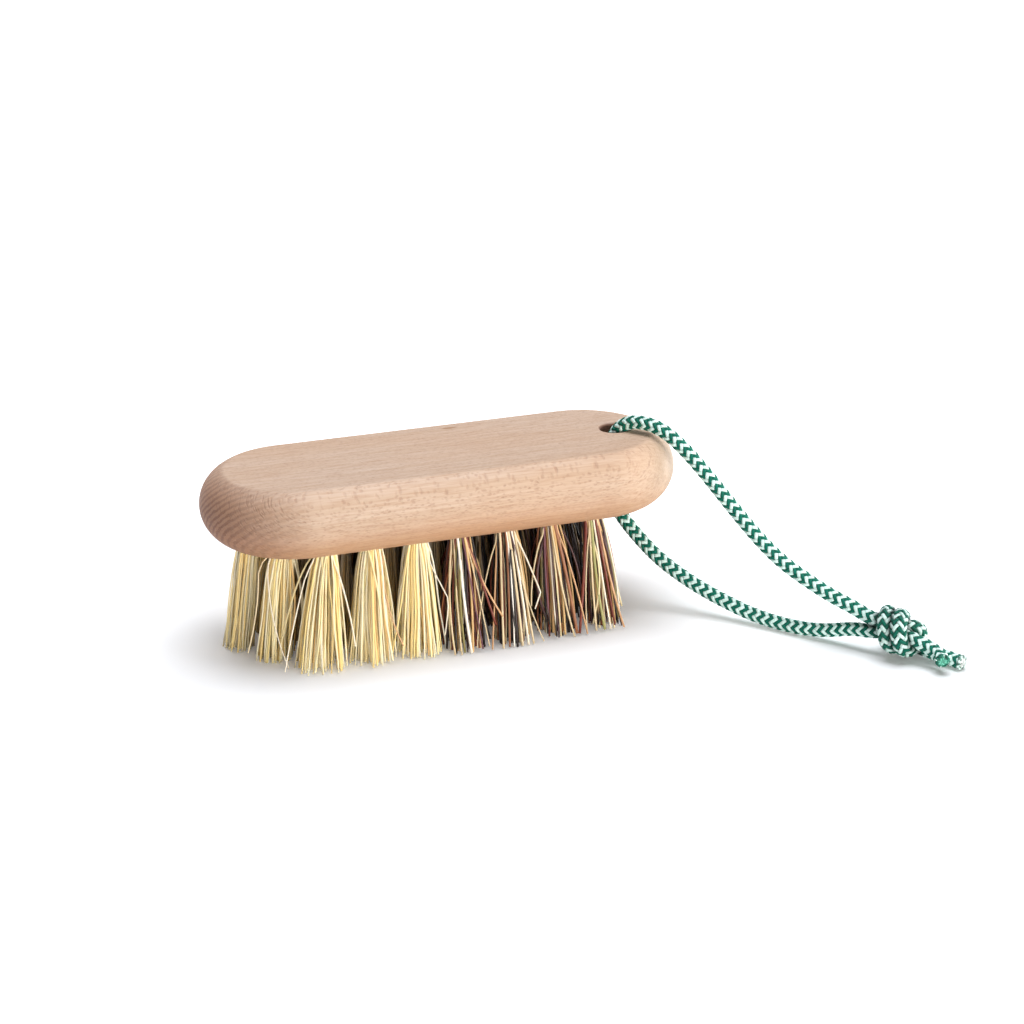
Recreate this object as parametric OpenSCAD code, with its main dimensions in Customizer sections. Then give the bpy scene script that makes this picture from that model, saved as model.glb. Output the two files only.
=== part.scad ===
// Vegetable brush. An oval wooden block carries tufts of plant fibre in blind holes,
// pale tufts on one half and a dark mixture on the other. A braided cord runs through
// a hole at the dark end and is tied in an overhand knot, as a loop to hang the brush by.
// The bristle tips stand on z = 0, the block is centred on x = 0 and y = 0, and +X
// points along the block to the cord hole.

/* [Block] */
// Overall length of the block
block_l = 135; // [130:1:145]
// Overall width of the block
block_w = 52; // [50:1:56]
// Thickness of the block
block_t = 19; // [18:0.5:22]
// How far the rounded side stands out past the flat faces
side_bulge = 6.5; // [5.5:0.1:7]

/* [Cord hole] */
// Diameter of the hole for the cord
cord_hole_d = 8; // [7.8:0.1:9]
// Distance from the middle of the cord hole to the end of the block
cord_hole_inset = 16; // [15:0.5:17]
// Width of the eased edge round each mouth of the cord hole
cord_hole_ease = 1; // [0.8:0.1:1.4]

/* [Tuft places] */
// Number of tufts in the middle row and in each outer row
columns = 7; // [6:1:8]
// Distance from an outer row to the side of the block
row_inset = 9; // [8.5:0.1:9.5]
// How far an outer row stops short of the round end at each side
row_margin = 3.4; // [2:0.1:5]
// Distance from the tuft at the round end to the end of the block
end_inset = 12.8; // [12:0.1:14]
// How far the corner tufts stand in from the end tuft
corner_step = 6.9; // [6.5:0.1:7.5]
// How far the corner tufts stand in from the outer rows
corner_drop = 7.5; // [7:0.1:8]

/* [Tufts] */
// Length of bristle that shows below the block
bristle_l = 31; // [26:1:36]
// Diameter of the blind hole that holds a tuft
tuft_hole_d = 7; // [6.6:0.1:7.4]
// Depth of the blind hole along its own axis
tuft_hole_depth = 12; // [10:0.5:13]
// Gap round the root of a tuft in its hole
tuft_clearance = 0.1; // [0.05:0.01:0.15]
// Gap between the folded root and the bottom of its hole
root_gap = 0.2; // [0.1:0.05:0.4]
// How far the packed root stands out of its hole
root_stand = 0.6; // [0.4:0.1:1]
// Diameter across the tips of a tuft
tuft_tip_d = 11.2; // [9:0.1:11.4]
// How far the tips of the end tuft lean out along the block
lean_end = 5.5; // [4:0.1:6.5]
// How far the tips of the outer rows lean out sideways
lean_side = 2; // [1.5:0.1:3]
// Diameter round a strand
strand_d = 1.1; // [0.9:0.05:1.15]
// Number of strands in the outer ring of a tuft
strands_outer = 8; // [6:1:8]
// Number of strands in the inner ring of a tuft
strands_inner = 4; // [3:1:4]

/* [Anchors] */
// Thickness of the flat wire that staples a tuft
anchor_t = 0.4; // [0.3:0.05:0.6]
// Height of the flat wire
anchor_h = 1.8; // [1.4:0.1:2.2]
// How far each end of the wire bites into the wood
anchor_bite = 0.6; // [0.4:0.1:0.8]
// Distance from the bottom of the hole to the middle of the wire
anchor_drop = 2.2; // [1.8:0.1:2.6]
// Gap round the wire
anchor_clearance = 0.05; // [0.03:0.01:0.1]

/* [Hanging cord] */
// Diameter of the braided cord
cord_d = 4; // [3.8:0.1:4.1]
// Turn of the hanging loop about the cord hole, from the length of the block
loop_turn = -52; // [-62:1:62]
// Diameter over the wraps of the knot
knot_d = 13.6; // [13:0.1:14]
// Distance between the two wraps of the knot
wrap_pitch = 3.8; // [3.2:0.1:3.9]
// Slant of the wraps across the knot
wrap_slant = 24; // [15:1:30]
// Reach of the knot's middle from the axis of the cord hole
knot_reach = 88; // [87:0.5:89]

/* [Hidden] */
// Fineness of round faces
$fn = 96;
// Thinnest wall of packed fibre outside the strands
root_skin = 0.1;
// Overlap that keeps a cut clear of the face it leaves
cut = 1;

block_z = bristle_l;
block_top = bristle_l + block_t;
side_r = (block_t * block_t / 4 + side_bulge * side_bulge) / (2 * side_bulge);
side_x = block_w / 2 - side_r;
end_x = block_l / 2 - block_w / 2;
cord_hole_x = block_l / 2 - cord_hole_inset;

outer_y = block_w / 2 - row_inset;
between_y = outer_y / 2;
pitch = 2 * (end_x - row_margin) / (columns - 1);
end_tuft_x = end_inset - block_l / 2;

end_places = [
    [end_tuft_x, 0],
    [end_tuft_x + corner_step, corner_drop - outer_y],
    [end_tuft_x + corner_step, outer_y - corner_drop]
];
full_rows = [
    for (y = [-outer_y, 0, outer_y])
        for (c = [0 : columns - 1])
            [(c - (columns - 1) / 2) * pitch, y]
];
rows_between = [
    for (y = [-between_y, between_y])
        for (c = [0 : columns - 2])
            [(c - (columns - 2) / 2) * pitch, y]
];
places = concat(end_places, full_rows, rows_between);

// The pale half of the brush ends a quarter of a pitch before the middle.
light_places = [for (p = places) if (p.x < -pitch / 4) p];
dark_places = [for (p = places) if (p.x >= -pitch / 4) p];

// The cord's route lies in an upright plane through the axis of the cord hole. Each
// point is [reach from that axis, offset out of the plane, height above the ground].
upper_route = [
    [-1.7, 0, 40.5], [-1.7, 0, 43], [-1.6, 0, 46], [-0.6, 0, 49], [1.8, 0, 51.5],
    [5.3, 0, 52.6], [9.5, 0, 52.9], [13.5, 0, 52.5], [17.5, 0, 50.9], [21.5, 0, 48.3],
    [27, 0, 43.8], [33, 0, 38.2], [40, 0, 31.5], [47, 0, 25.3], [54, 0, 20.4],
    [62, 0, 16.6], [70, 0, 13.8], [77, 0, 12], [84, 0, 11.2]
];
lower_route = [
    [-1.7, 0, 40.5], [-1.7, 0, 37], [-1.6, 0, 33.5], [-0.9, 0, 30], [0.7, 0, 26.6],
    [3.3, 0, 23.3], [8.5, 0, 18.4], [14.5, 0, 13.9], [21.5, 0, 10.2], [29, 0, 7.2],
    [37, 0, 4.8], [45, 0, 3], [53, 0, 2.2], [61, 0, 2.3], [69, 0, 3.6],
    [77, 0, 5.6], [84, 0, 6.9]
];
near_route = [
    [92, -0.4, 6.6], [95, -0.6, 5.8], [98, -1.1, 5], [100.6, -2, 4.4], [102.8, -3.3, 4]
];
far_route = [
    [92, 2.8, 3.4], [95, 3, 2.9], [99, 2.8, 2.4], [103, 2.3, 2.2], [107, 1.6, 2.2]
];
// Number of flat sides round the cord
cord_sides = 10;
// Offset of the knot's middle out of the plane of the loop
knot_side = 1;

function light_name(i) = str("light_tuft_", i + 1);
function dark_name(i) = str("dark_tuft_", i + 1);
function unit(v) = v / norm(v);

// How far the tips of the tuft rooted at p lean out, over the length of the bristle
function lean(p) = [
    lean_end * p.x / abs(end_tuft_x),
    lean_side * p.y / outer_y
];

// Moves the children to the mouth of the hole at p, with +Z up along the hole.
module in_hole(p) {
    away = lean(p);
    bearing = atan2(-away.y, -away.x);
    translate([p.x, p.y, block_z])
        rotate([0, atan(norm(away) / bristle_l), bearing])
            rotate([0, 0, -bearing])
                children();
}

// Half of the block's section: flat above and below, with one round side.
module half_section() {
    intersection() {
        square([block_w / 2, block_t]);
        union() {
            square([side_x, block_t]);
            translate([side_x, block_t / 2])
                circle(r = side_r);
        }
    }
}

module block_body() {
    translate([-end_x, 0, block_z])
        rotate([90, 0, 90])
            linear_extrude(height = 2 * end_x) {
                half_section();
                mirror([1, 0])
                    half_section();
            }
    for (side = [0, 1])
        mirror([side, 0, 0])
            translate([end_x, 0, block_z])
                rotate([0, 0, -90])
                    rotate_extrude(angle = 180)
                        half_section();
}

module cord_hole() {
    translate([cord_hole_x, 0, block_z]) {
        translate([0, 0, -cut])
            cylinder(d = cord_hole_d, h = block_t + 2 * cut);
        translate([0, 0, block_t - cord_hole_ease])
            cylinder(r1 = cord_hole_d / 2, r2 = cord_hole_d / 2 + cord_hole_ease + cut,
                h = cord_hole_ease + cut);
        translate([0, 0, -cut])
            cylinder(r1 = cord_hole_d / 2 + cord_hole_ease + cut, r2 = cord_hole_d / 2,
                h = cord_hole_ease + cut);
    }
}

// The flat wire across a hole, with a gap all round it
module anchor_wire(gap) {
    translate([0, 0, tuft_hole_depth - anchor_drop])
        cube([
            anchor_t + 2 * gap,
            tuft_hole_d + 2 * anchor_bite + 2 * gap,
            anchor_h + 2 * gap
        ], center = true);
}

module block() {
    color("#d9b690")
        difference() {
            block_body();
            cord_hole();
            for (p = places)
                in_hole(p) {
                    translate([0, 0, -cut])
                        cylinder(d = tuft_hole_d, h = tuft_hole_depth + cut);
                    anchor_wire(anchor_clearance);
                }
        }
}

module tuft_anchors() {
    color("#b9bcc0")
        for (p = places)
            in_hole(p)
                anchor_wire(0);
}

// The folded root of a tuft, cut level just below the block
module tuft_root(p) {
    difference() {
        in_hole(p)
            translate([0, 0, -2 * root_stand])
                cylinder(d = tuft_hole_d - 2 * tuft_clearance,
                    h = tuft_hole_depth - root_gap + 2 * root_stand);
        in_hole(p)
            anchor_wire(anchor_clearance);
        translate([p.x, p.y, block_z - root_stand - tuft_hole_d / 2])
            cube([2 * tuft_hole_d, 2 * tuft_hole_d, tuft_hole_d], center = true);
    }
}

// One three-sided strand from inside the root down to a level tip on the ground
module strand(from, to, turn) {
    top = block_z + root_stand;
    start = from + (from - to) * root_stand / bristle_l;
    corners = [
        for (a = [0 : 2])
            strand_d / 2 * [cos(turn + 120 * a), sin(turn + 120 * a)]
    ];
    polyhedron(
        points = concat(
            [for (c = corners) [start.x + c.x, start.y + c.y, top]],
            [for (c = corners) [to.x + c.x, to.y + c.y, 0]]
        ),
        faces = [
            [2, 1, 0], [3, 4, 5],
            [0, 1, 4], [0, 4, 3],
            [1, 2, 5], [1, 5, 4],
            [2, 0, 3], [2, 3, 5]
        ]
    );
}

// Strands in a ring whose radius opens from the root to the tips
module strand_ring(p, count, share, turn) {
    root_r = share * (tuft_hole_d / 2 - tuft_clearance - strand_d / 2 - root_skin);
    tip_r = share * (tuft_tip_d - strand_d) / 2;
    for (k = [0 : count - 1]) {
        angle = turn + 360 * k / count;
        out = [cos(angle), sin(angle)];
        strand(p + root_r * out, p + lean(p) + tip_r * out, angle);
    }
}

module tuft(p, turn) {
    tuft_root(p);
    strand_ring(p, 1, 0, turn);
    strand_ring(p, strands_inner, 0.52, turn);
    strand_ring(p, strands_outer, 1, turn + 180 / strands_outer);
}

// A tube along a route, with a ring of corners at each of its points
module cord_tube(route) {
    last = len(route) - 1;
    rings = [
        for (i = [0 : last])
            let (
                along = unit(route[min(i + 1, last)] - route[max(i - 1, 0)]),
                up = unit(cross(along, [0, 1, 0])),
                side = cross(up, along)
            )
            for (k = [0 : cord_sides - 1])
                let (a = 360 * (k + 0.5) / cord_sides)
                route[i] + cord_d / 2 * (cos(a) * up + sin(a) * side)
    ];
    walls = [
        for (i = [0 : last - 1])
            for (k = [0 : cord_sides - 1])
                let (
                    a = i * cord_sides + k,
                    b = i * cord_sides + (k + 1) % cord_sides
                )
                each [[a, b, b + cord_sides], [a, b + cord_sides, a + cord_sides]]
    ];
    first_cap = [for (k = [1 : cord_sides - 2]) [0, k + 1, k]];
    far = last * cord_sides;
    last_cap = [for (k = [1 : cord_sides - 2]) [far, far + k, far + k + 1]];
    translate([cord_hole_x, 0, 0])
        rotate([0, 0, loop_turn])
            polyhedron(points = rings, faces = concat(walls, first_cap, last_cap));
}

module cord_upper() {
    color("#1d7a58")
        cord_tube(upper_route);
}

module cord_lower() {
    color("#1d7a58")
        cord_tube(lower_route);
}

module tail_near() {
    color("#1d7a58")
        cord_tube(near_route);
}

module tail_far() {
    color("#1d7a58")
        cord_tube(far_route);
}

// Two slanted wraps of the doubled cord round a rounded core
module knot() {
    wrap_r = (knot_d - cord_d) / 2;
    color("#17634a")
        translate([cord_hole_x, 0, 0])
            rotate([0, 0, loop_turn])
                translate([knot_reach, knot_side, knot_d / 2])
                    rotate([0, 90, wrap_slant]) {
                        sphere(d = knot_d - cord_d / 2);
                        for (side = [-1, 1])
                            translate([0, 0, side * wrap_pitch / 2])
                                rotate_extrude()
                                    translate([wrap_r, 0])
                                        circle(d = cord_d);
                    }
}

block();
tuft_anchors();
for (i = [0 : len(light_places) - 1])
    color("#ead9a0") tuft(light_places[i], 37 * i);
for (i = [0 : len(dark_places) - 1])
    color("#6a4a34") tuft(dark_places[i], 41 * i);
cord_upper();
cord_lower();
knot();
tail_near();
tail_far();
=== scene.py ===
"""Looks of the vegetable brush: beech block, fibre tufts and braided hanging cord."""

import math
from collections import namedtuple

import bmesh
import bpy
import numpy as np
from mathutils import Matrix, Vector

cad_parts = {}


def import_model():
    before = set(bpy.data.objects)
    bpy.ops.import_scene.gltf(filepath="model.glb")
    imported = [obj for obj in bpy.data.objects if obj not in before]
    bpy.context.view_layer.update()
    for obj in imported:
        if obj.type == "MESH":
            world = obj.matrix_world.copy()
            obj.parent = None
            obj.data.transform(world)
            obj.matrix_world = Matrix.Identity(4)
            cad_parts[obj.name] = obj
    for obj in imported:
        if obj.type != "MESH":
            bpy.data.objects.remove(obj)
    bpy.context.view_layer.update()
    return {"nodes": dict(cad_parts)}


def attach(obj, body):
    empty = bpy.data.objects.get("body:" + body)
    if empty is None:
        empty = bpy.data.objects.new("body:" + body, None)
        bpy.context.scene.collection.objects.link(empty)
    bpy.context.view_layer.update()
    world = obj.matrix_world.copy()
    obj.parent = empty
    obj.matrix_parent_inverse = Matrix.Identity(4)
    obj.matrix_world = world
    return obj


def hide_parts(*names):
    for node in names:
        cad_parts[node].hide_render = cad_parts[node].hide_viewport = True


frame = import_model()

MM = 0.001

# Block, in millimetres, as in the frame
BLOCK_L, BLOCK_W, BLOCK_T = 135.0, 52.0, 19.0
SIDE_BULGE, CREASE_EASE = 6.5, 3.0
BRISTLE_L = 31.0
CORD_HOLE_X, CORD_HOLE_D = 51.5, 8.0
TUFT_HOLE_D, TUFT_HOLE_DEPTH = 7.0, 12.0
END_X = (BLOCK_L - BLOCK_W) / 2

# Tufts: the rows, the one at the round end and the pair beside it, and their lean
PITCH = 12.7
OUTER_Y = 17.0
END_TUFT_X = -54.7
END_PAIR_X, END_PAIR_Y = END_TUFT_X + 6.9, OUTER_Y - 7.5
LEAN_END, LEAN_SIDE = 5.5, 2.0

# The loop lies in an upright plane, turned this far from the block's length
LOOP_TURN = math.radians(-52)


def add_object(name, data):
    ob = bpy.data.objects.new(name, data)
    bpy.context.scene.collection.objects.link(ob)
    return ob


def from_bmesh(name, bm):
    """A mesh object from a bmesh, which is freed."""
    mesh = bpy.data.meshes.new(name)
    bm.to_mesh(mesh)
    bm.free()
    return add_object(name, mesh)


def add_camera():
    """The photograph's camera: its place, its three angles and its focal length."""
    place = Vector((-0.20522, -0.64291, 0.28697))
    yaw, pitch, roll = (math.radians(a) for a in (-19.368, 20.753, -0.488))
    ahead = Vector(
        (-math.sin(yaw) * math.cos(pitch), math.cos(yaw) * math.cos(pitch), -math.sin(pitch))
    )
    right = Vector((math.cos(yaw), math.sin(yaw), 0))
    up = right.cross(ahead)
    r = math.cos(roll) * right + math.sin(roll) * up
    u = -math.sin(roll) * right + math.cos(roll) * up
    data = bpy.data.cameras.new("camera")
    data.sensor_fit = "HORIZONTAL"
    data.sensor_width = 36
    data.lens = 91.406
    data.clip_start, data.clip_end = 0.02, 20
    cam = add_object("camera", data)
    turn = Matrix((r, u, -ahead)).transposed().to_4x4()
    cam.matrix_world = Matrix.Translation(place) @ turn
    bpy.context.scene.camera = cam


add_camera()


def unit(v):
    return v / np.maximum(np.linalg.norm(v, axis=-1, keepdims=True), 1e-12)


def mesh_object(name, verts, quads, tris, material, shade, uv):
    """A smooth mesh object from arrays in millimetres. shade and uv hold each vertex's colour
    and its place round and along its thread."""
    mesh = bpy.data.meshes.new(name)
    loops = np.concatenate([quads.ravel(), tris.ravel()])
    sizes = np.concatenate([np.full(len(quads), 4), np.full(len(tris), 3)])
    mesh.vertices.add(len(verts))
    mesh.vertices.foreach_set("co", (verts * MM).astype(np.float32).ravel())
    mesh.loops.add(len(loops))
    mesh.loops.foreach_set("vertex_index", loops.astype(np.int32))
    mesh.polygons.add(len(sizes))
    starts = np.concatenate([[0], np.cumsum(sizes)[:-1]])
    mesh.polygons.foreach_set("loop_start", starts.astype(np.int32))
    mesh.update(calc_edges=True)
    mesh.validate()
    layer = mesh.attributes.new("shade", "FLOAT_COLOR", "POINT")
    layer.data.foreach_set("color", shade.astype(np.float32).ravel())
    layer = mesh.uv_layers.new(name="thread")
    layer.data.foreach_set("uv", uv[loops].astype(np.float32).ravel())
    mesh.shade_smooth()
    mesh.materials.append(material)
    return add_object(name, mesh)


def tubes(paths, across, up, wide, thick, sides):
    """Closed tubes round paths (n, k, 3). across and up are their section axes, and wide
    and thick the half sizes along these. Returns vertices, quads, cap triangles and,
    for each vertex, the tube, the ring and the side it is on."""
    n, k = paths.shape[:2]
    angle = 2 * np.pi * np.arange(sides) / sides
    ring = (
        np.cos(angle)[None, None, :, None] * (across * wide[..., None])[:, :, None]
        + np.sin(angle)[None, None, :, None] * (up * thick[..., None])[:, :, None]
    )
    verts = (paths[:, :, None] + ring).reshape(-1, 3)
    index = np.arange(n * k * sides).reshape(n, k, sides)
    a, b = index[:, :-1], index[:, 1:]
    quads = np.stack([a, np.roll(a, -1, 2), np.roll(b, -1, 2), b], -1).reshape(-1, 4)
    fan = np.arange(1, sides - 1)
    caps = []
    for end, left, right in ((index[:, 0], fan + 1, fan), (index[:, -1], fan, fan + 1)):
        hub = np.broadcast_to(end[:, :1], (n, sides - 2))
        caps.append(np.stack([hub, end[:, left], end[:, right]], -1).reshape(-1, 3))
    places = np.meshgrid(np.arange(n), np.arange(k), np.arange(sides), indexing="ij")
    return verts, quads, np.concatenate(caps), np.stack(places, -1).reshape(-1, 3)


class Graph:
    """The node tree of a new material or world, built a node at a time."""

    def __init__(self, owner):
        owner.use_nodes = True
        self.owner = owner
        self.tree = owner.node_tree
        self.tree.nodes.clear()

    def add(self, kind, inputs=(), **settings):
        node = self.tree.nodes.new(kind)
        for key, value in settings.items():
            setattr(node, key, value)
        for key, value in dict(inputs).items():
            self.put(node.inputs[key], value)
        return node

    def put(self, socket, value):
        if isinstance(value, bpy.types.NodeSocket):
            self.tree.links.new(value, socket)
        else:
            socket.default_value = value

    def math(self, operation, a, b):
        return self.add("ShaderNodeMath", {0: a, 1: b}, operation=operation).outputs[0]

    def distance(self, a, b=(0, 0, 0)):
        node = self.add("ShaderNodeVectorMath", {0: a, 1: b}, operation="DISTANCE")
        return node.outputs["Value"]

    def mix(self, share, a, b, blend="MIX"):
        node = self.add("ShaderNodeMix", data_type="RGBA", blend_type=blend)
        self.put(node.inputs[0], share)
        self.put(node.inputs[6], a)
        self.put(node.inputs[7], b)
        return node.outputs[2]

    def steps(self, value, low, high, out_low=0.0, out_high=1.0):
        """value from low to high, eased to run from out_low to out_high."""
        node = self.add(
            "ShaderNodeMapRange",
            {0: value, 1: low, 2: high, 3: out_low, 4: out_high},
            interpolation_type="SMOOTHSTEP",
        )
        return node.outputs[0]

    def noise(self, vector, scale, detail=3.0, rough=0.5):
        node = self.add(
            "ShaderNodeTexNoise",
            {"Vector": vector, "Scale": scale, "Detail": detail, "Roughness": rough},
        )
        return node.outputs["Fac"]

    def moved(self, vector, turn=(0, 0, 0), size=(1, 1, 1), shift=(0, 0, 0)):
        node = self.add(
            "ShaderNodeMapping",
            {"Vector": vector, "Rotation": turn, "Scale": size, "Location": shift},
        )
        return node.outputs[0]

    def bump(self, height, distance):
        return self.add("ShaderNodeBump", {"Height": height, "Distance": distance}).outputs[0]

    def thread(self):
        """The colour given to each vertex, and its place round and along its thread."""
        own = self.add("ShaderNodeAttribute", attribute_name="shade").outputs["Color"]
        return own, self.add("ShaderNodeUVMap", uv_map="thread").outputs[0]

    def seen(self):
        """1 for what the camera, a reflection or glass shows, and 0 for rays that carry light."""
        path = self.add("ShaderNodeLightPath")
        camera, glossy, clear = (
            path.outputs[f"Is {kind} Ray"] for kind in ("Camera", "Glossy", "Transmission")
        )
        return self.math("MAXIMUM", self.math("MAXIMUM", camera, glossy), clear)

    def surface(self, colour, roughness, normal, **values):
        """Ends a material. values are numbers that are the same all over its surface."""
        node = self.add(
            "ShaderNodeBsdfPrincipled",
            {"Base Color": colour, "Roughness": roughness, "Normal": normal},
        )
        for key, value in values.items():
            node.inputs[key.replace("_", " ")].default_value = value
        self.add("ShaderNodeOutputMaterial", {"Surface": node.outputs[0]})
        return self.owner


def srgb(r, g, b):
    """A colour as read off a screen, 0 to 255, in linear light."""
    def linear(c):
        c /= 255
        return c / 12.92 if c <= 0.04045 else ((c + 0.055) / 1.055) ** 2.4
    return (linear(r), linear(g), linear(b), 1.0)


# The wood's rays lean this far back from upright, across the growth rings
RAY_LEAN = math.radians(48)


def beech():
    """Beech with its grain along X: growth rings, fine fibre and ray flecks."""
    g = Graph(bpy.data.materials.new("beech"))
    place = g.add("ShaderNodeTexCoord")
    xyz = place.outputs["Object"]
    # X along the grain, Y along the rings and Z along the rays
    wood = g.moved(xyz, turn=(RAY_LEAN, 0, 0))

    def warped(size, amount):
        sway = g.add(
            "ShaderNodeTexNoise",
            {"Vector": g.moved(wood, size=size), "Scale": 1.0, "Detail": 2.0},
        )
        return g.add(
            "ShaderNodeVectorMath",
            {0: wood, 1: g.moved(sway.outputs["Color"], size=amount)},
            operation="ADD",
        ).outputs[0]

    rings = g.add(
        "ShaderNodeTexWave",
        {
            "Vector": g.moved(
                warped((6, 45, 45), (0.0, 0.003, 0.003)), size=(0.05, 1, 1), shift=(0, 0.03, 0.09)
            ),
            "Scale": 190.0, "Distortion": 4.6, "Detail": 3.0,
            "Detail Scale": 0.9, "Detail Roughness": 0.6,
        },
        wave_type="RINGS", rings_direction="X", wave_profile="SIN",
    ).outputs["Fac"]
    late = g.steps(rings, 0.3, 0.85)
    fibre = g.noise(g.moved(wood, size=(110, 2000, 2000)), 1.0, 4.0, 0.6)
    streak = g.noise(g.moved(wood, size=(9, 240, 240)), 1.0, 3.0, 0.55)
    patch = g.noise(g.moved(wood, size=(14, 40, 40)), 1.0, 2.0)

    def flecks(size, near, far):
        """Rays: ribbons along Z, upright in X and thin in Y."""
        bent = warped((350, 350, 350), (0.0007, 0.00045, 0.001))
        cell = g.add(
            "ShaderNodeTexVoronoi",
            {"Vector": g.moved(bent, size=size), "Scale": 1.0, "Randomness": 1.0},
        )
        return g.steps(cell.outputs["Distance"], far, near)

    fine = flecks((700, 3300, 240), 0.16, 0.46)
    bold = flecks((480, 2600, 160), 0.12, 0.36)
    # the end away from the cord hole shows its dark end grain; the end at the cord hole is greyed
    # instead, a painted highlight where light washes its colour out
    facing = g.add("ShaderNodeSeparateXYZ", {0: place.outputs["Normal"]}).outputs[0]
    far_end = g.math("MAXIMUM", g.math("MULTIPLY", facing, -1.0), 0.0)
    near_end_highlight = g.math("POWER", g.math("MAXIMUM", facing, 0.0), 2.0)

    colour = g.mix(g.steps(streak, 0.3, 0.72), srgb(201, 175, 154), srgb(192, 164, 140))
    colour = g.mix(g.steps(patch, 0.35, 0.7, 0.0, 0.5), colour, srgb(198, 164, 136))
    colour = g.mix(g.math("MULTIPLY", late, 0.1), colour, srgb(162, 122, 99))
    colour = g.mix(g.steps(fibre, 0.4, 0.75, 0.0, 0.6), colour, srgb(173, 136, 108))
    colour = g.mix(g.math("MULTIPLY", fine, 0.19), colour, srgb(144, 101, 74))
    colour = g.mix(g.math("MULTIPLY", bold, 0.25), colour, srgb(136, 90, 66))
    ring_depth = g.math("MULTIPLY", late, g.steps(patch, 0.2, 0.6, 0.5, 1.0))
    cut = g.mix(ring_depth, srgb(169, 122, 95), srgb(129, 85, 63))
    cut = g.mix(g.math("MULTIPLY", g.math("ADD", fine, fibre), 0.35), cut, srgb(110, 74, 56))
    colour = g.mix(g.math("MULTIPLY", far_end, 0.95), colour, cut)
    # painted highlight on the end at the cord hole
    colour = g.mix(g.math("MULTIPLY", near_end_highlight, 0.55), colour, srgb(180, 174, 160))
    # painted shade and warm bounce light from the bristles: the wood is darker and more orange low
    # on the side
    level = g.add("ShaderNodeSeparateXYZ", {0: xyz}).outputs[2]
    low = g.steps(level, (BRISTLE_L + 1) * MM, (BRISTLE_L + 13) * MM, 1.0, 0.0)
    colour = g.mix(low, colour, (0.85, 0.69, 0.54, 1), "MULTIPLY")
    # painted shade makes the wood browner in and round the cord hole, whose radius is 0.96 at this
    # scale
    hole_scale = 240
    hole = g.moved(
        xyz, size=(hole_scale, hole_scale, 0), shift=(-hole_scale * CORD_HOLE_X * MM, 0, 0)
    )
    hole_shade = g.steps(g.distance(hole), 0.98, 1.16, 0.8, 0.0)
    colour = g.mix(hole_shade, colour, srgb(150, 96, 60), "MULTIPLY")
    # a pin knot near the back edge of the top, with half sizes of 3, 1 and 4 mm
    knot = g.moved(xyz, size=(330, 1000, 250), shift=(-2.61, -16.2, -12.5))
    colour = g.mix(g.steps(g.distance(knot), 1.0, 0.35, 0.0, 0.75), colour, srgb(150, 108, 70))
    height = g.math("ADD", g.math("MULTIPLY", fibre, -0.5), g.math("MULTIPLY", fine, -0.6))
    height = g.math("ADD", height, g.math("MULTIPLY", bold, -0.6))
    rough = g.steps(fibre, 0.2, 0.8, 0.5, 0.68)
    return g.surface(colour, rough, g.bump(height, 0.0001), Specular_IOR_Level=0.35)


def plant_fibre(name, contrast):
    """Plant fibre that takes its colour from each bristle, with lengthwise streaks."""
    g = Graph(bpy.data.materials.new(name))
    own, thread = g.thread()
    streak = g.noise(g.moved(thread, size=(5, 0.12, 1)), 1.0, 3.0, 0.6)
    knots = g.noise(g.moved(thread, size=(0.7, 0.5, 1)), 1.0, 2.0)
    colour = g.mix(g.steps(streak, 0.4, 0.8, 0.0, contrast), own, srgb(220, 176, 104), "MULTIPLY")
    colour = g.mix(g.steps(knots, 0.4, 0.8, 0.0, 0.35), colour, srgb(255, 236, 190), "SOFT_LIGHT")
    return g.surface(
        colour, g.steps(streak, 0.2, 0.8, 0.38, 0.6), g.bump(streak, 0.00004),
        Specular_IOR_Level=0.4,
    )


def braid_yarn():
    """Spun yarn of the braid: its own colour, fine filaments along it and a soft sheen."""
    g = Graph(bpy.data.materials.new("braid_yarn"))
    own, thread = g.thread()
    lines = g.noise(g.moved(thread, size=(14, 0.9, 1)), 1.0, 3.0, 0.65)
    blot = g.noise(g.moved(thread, size=(1.2, 0.8, 1)), 1.0, 2.0)
    colour = g.mix(g.steps(lines, 0.35, 0.75, 0.0, 0.4), own, srgb(130, 150, 142), "MULTIPLY")
    colour = g.mix(g.steps(blot, 0.35, 0.75, 0.0, 0.25), colour, srgb(200, 235, 225), "MULTIPLY")
    return g.surface(
        colour, g.steps(lines, 0.2, 0.8, 0.6, 0.85), g.bump(lines, 0.00008),
        Specular_IOR_Level=0.2, Sheen_Weight=0.06, Sheen_Roughness=0.5,
    )


def wire():
    """Bright drawn wire, streaked along Y."""
    g = Graph(bpy.data.materials.new("anchor_wire"))
    place = g.add("ShaderNodeTexCoord").outputs["Object"]
    lines = g.noise(g.moved(place, size=(900, 60, 900)), 1.0, 3.0)
    colour = g.mix(lines, srgb(186, 188, 192), srgb(150, 152, 158))
    return g.surface(
        colour, g.steps(lines, 0.2, 0.8, 0.25, 0.45), g.bump(lines, 0.00003), Metallic=1.0
    )


def spot(reach, aside, height):
    """A point of the loop's upright plane in the frame, in metres."""
    return (
        CORD_HOLE_X * MM + reach * math.cos(LOOP_TURN) - aside * math.sin(LOOP_TURN),
        reach * math.sin(LOOP_TURN) + aside * math.cos(LOOP_TURN),
        height,
    )


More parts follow.
